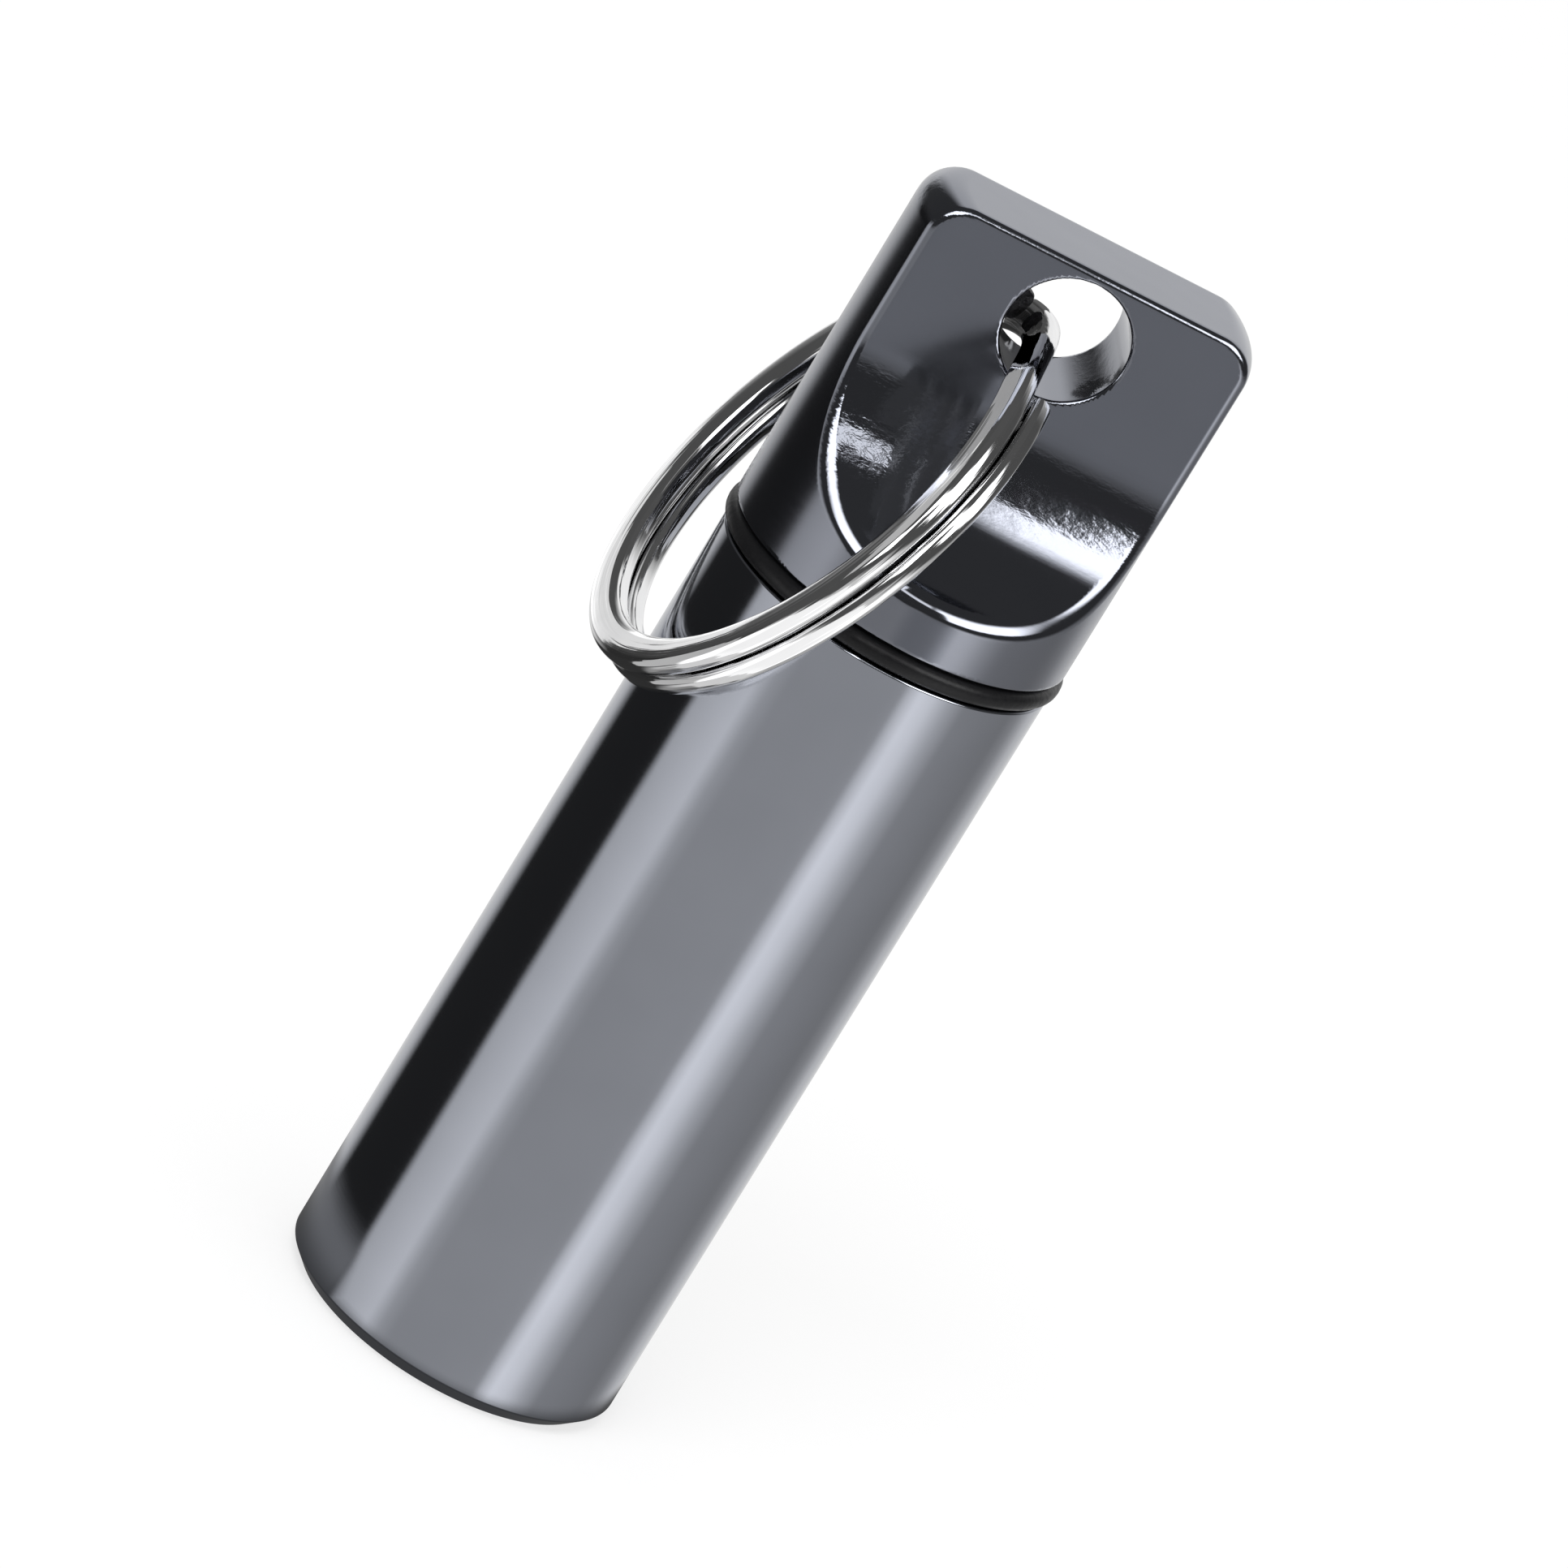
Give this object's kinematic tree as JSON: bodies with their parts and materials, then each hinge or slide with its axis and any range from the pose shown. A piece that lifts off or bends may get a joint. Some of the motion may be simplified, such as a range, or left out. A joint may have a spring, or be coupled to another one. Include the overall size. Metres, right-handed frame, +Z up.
{
  "type": "pill fob keychain",
  "caption": "Screw-top metal pill capsule for a key ring: a closed tube, a threaded cap with a flat drilled tab, a rubber seal between them and a double-wound split ring through the tab.",
  "frame": {"origin": "middle of the flat foot of the body tube, on the surface that it stands on", "axes": "+Z up along the capsule's axis, -Y out of the front flat of the cap's tab, and the ring hangs on the -X side"},
  "size_m": [0.0168, 0.021, 0.0503],
  "materials": {
    "gunmetal_tube": "polished and anodised gunmetal grey",
    "gunmetal_cap": "milled, polished and anodised gunmetal grey, a shade darker than the tube",
    "seal_rubber": "black rubber, slightly glossy",
    "ring_steel": "nickel-plated spring steel, polished"
  },
  "bodies": {
    "capsule": {"body_tube": "gunmetal_tube"},
    "seal": {"seal_ring": "seal_rubber"},
    "screw_cap": {"cap": "gunmetal_cap"},
    "key_ring": {"split_ring": "ring_steel"}
  },
  "joints": [
    {"name": "cap_lift", "type": "slide", "parent": "capsule", "child": "seal", "axis": [0, 0, 1], "range_m": [0, 0.003]},
    {"name": "cap_turn", "type": "hinge", "parent": "seal", "child": "screw_cap", "pos_m": [0, 0, 0.0353], "axis": [0, 0, 1], "range_deg": [0, 1080]},
    {"name": "ring_swing", "type": "hinge", "parent": "screw_cap", "child": "key_ring", "pos_m": [0, 0, 0.04741], "axis": [0, 1, 0], "range_deg": [0, 311]}
  ],
  "couplings": [
    {"joint": "cap_lift", "follows": "cap_turn", "m_per_rad": 0.00015915}
  ]
}
